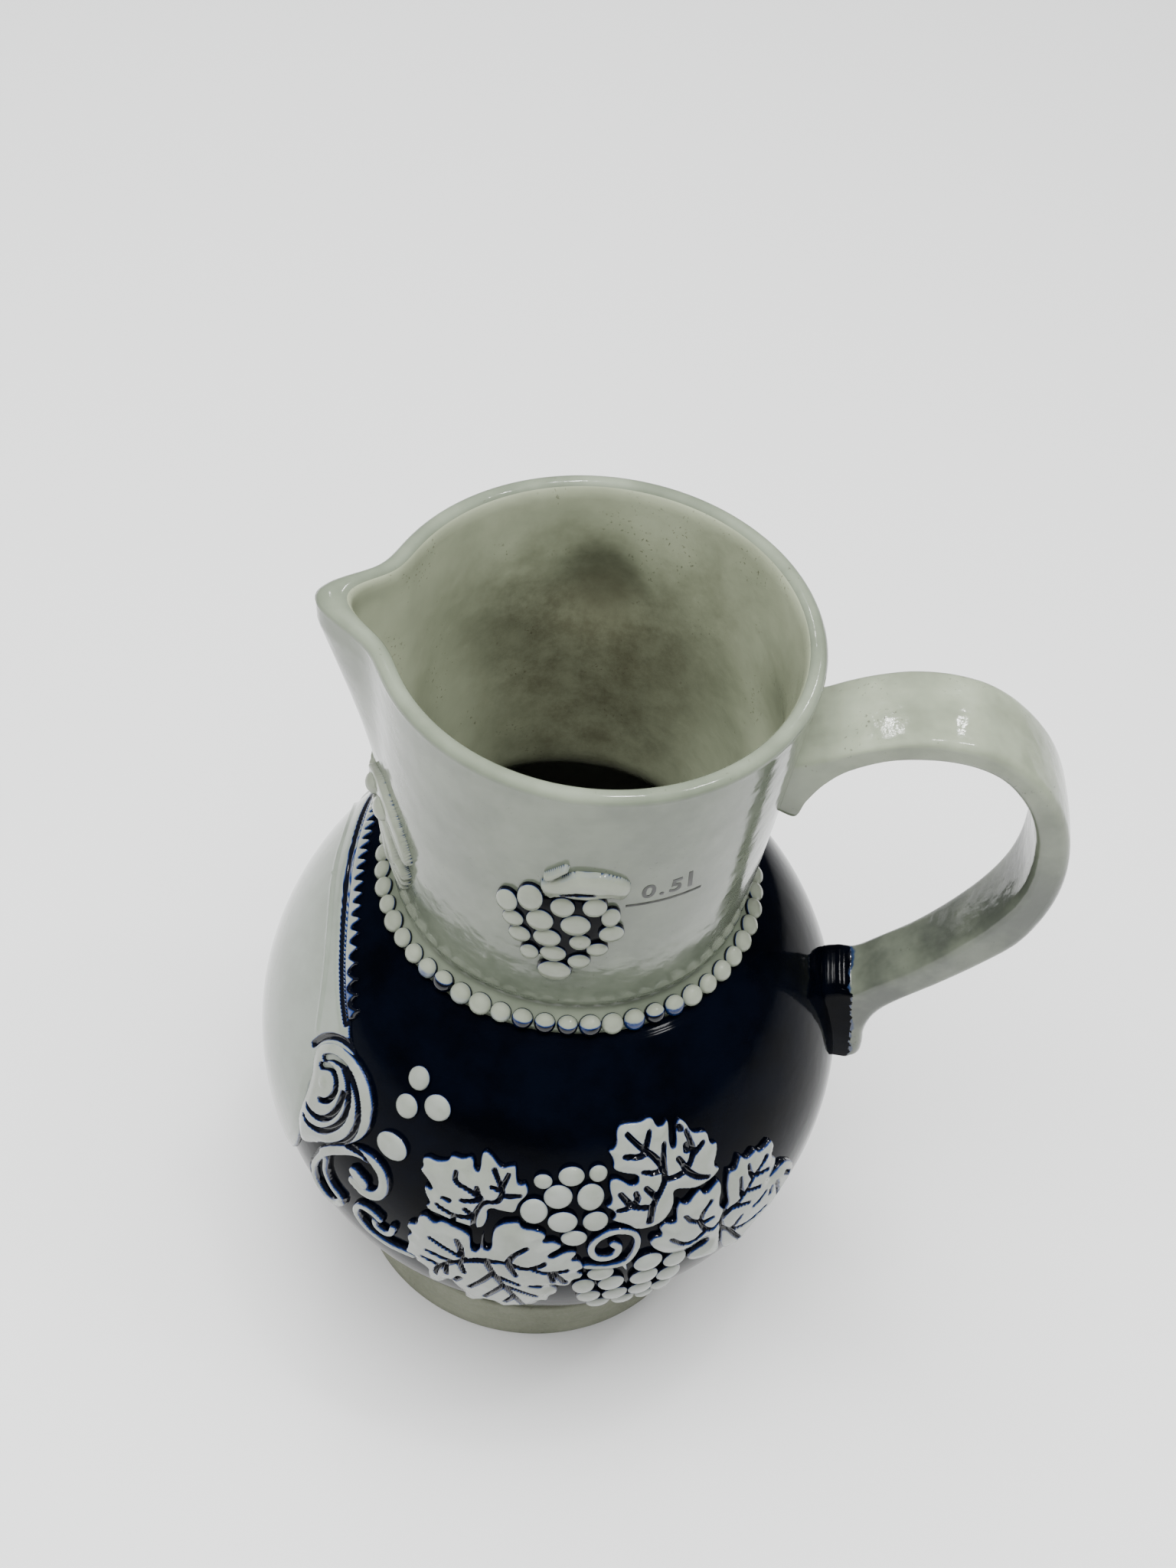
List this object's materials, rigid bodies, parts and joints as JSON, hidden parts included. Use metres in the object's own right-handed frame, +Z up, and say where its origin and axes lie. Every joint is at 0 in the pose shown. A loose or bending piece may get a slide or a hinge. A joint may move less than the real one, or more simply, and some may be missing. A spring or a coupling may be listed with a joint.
{
  "type": "wine jug",
  "caption": "Round-bellied stoneware wine jug with a tapered neck, pulled pouring lip, strap handle, beaded collar and applied vine relief.",
  "frame": {"origin": "centre of the flat resting face of the foot, on the jug's axis", "axes": "+Z up the jug's axis, +X towards the handle, -X towards the pouring lip, -Y the side seen in the picture"},
  "size_m": [0.13, 0.1038, 0.1572],
  "materials": {
    "grey_glaze": "glossy clear glaze over grey stoneware",
    "cobalt_glaze": "glossy deep cobalt glaze",
    "relief_glaze": "glossy wiped glaze on raised relief, cobalt left in the hollows",
    "bare_stoneware": "unglazed matt stoneware"
  },
  "bodies": {
    "root": {"foot": "bare_stoneware", "belly": "cobalt_glaze", "neck": "grey_glaze", "handle": "grey_glaze", "bead_ring": "relief_glaze", "panel": "relief_glaze", "panel_edging": "relief_glaze", "scroll_upper_near": "relief_glaze", "scroll_middle_near": "relief_glaze", "scroll_lower_near": "relief_glaze", "tendril_near": "relief_glaze", "berry_trio_top_near": "relief_glaze", "berry_trio_left_near": "relief_glaze", "berry_trio_right_near": "relief_glaze", "berry_single_near": "relief_glaze", "leaf_left_near": "relief_glaze", "leaf_top_near": "relief_glaze", "leaf_large_near": "relief_glaze", "leaf_middle_near": "relief_glaze", "leaf_right_near": "relief_glaze", "grapes_upper_near": "relief_glaze", "grapes_lower_near": "relief_glaze", "neck_grapes_near": "grey_glaze", "scroll_upper_far": "relief_glaze", "scroll_middle_far": "relief_glaze", "scroll_lower_far": "relief_glaze", "tendril_far": "relief_glaze", "berry_trio_top_far": "relief_glaze", "berry_trio_left_far": "relief_glaze", "berry_trio_right_far": "relief_glaze", "berry_single_far": "relief_glaze", "leaf_left_far": "relief_glaze", "leaf_top_far": "relief_glaze", "leaf_large_far": "relief_glaze", "leaf_middle_far": "relief_glaze", "leaf_right_far": "relief_glaze", "grapes_upper_far": "relief_glaze", "grapes_lower_far": "relief_glaze", "neck_grapes_far": "grey_glaze", "neck_sprig": "grey_glaze"}
  },
  "joints": []
}
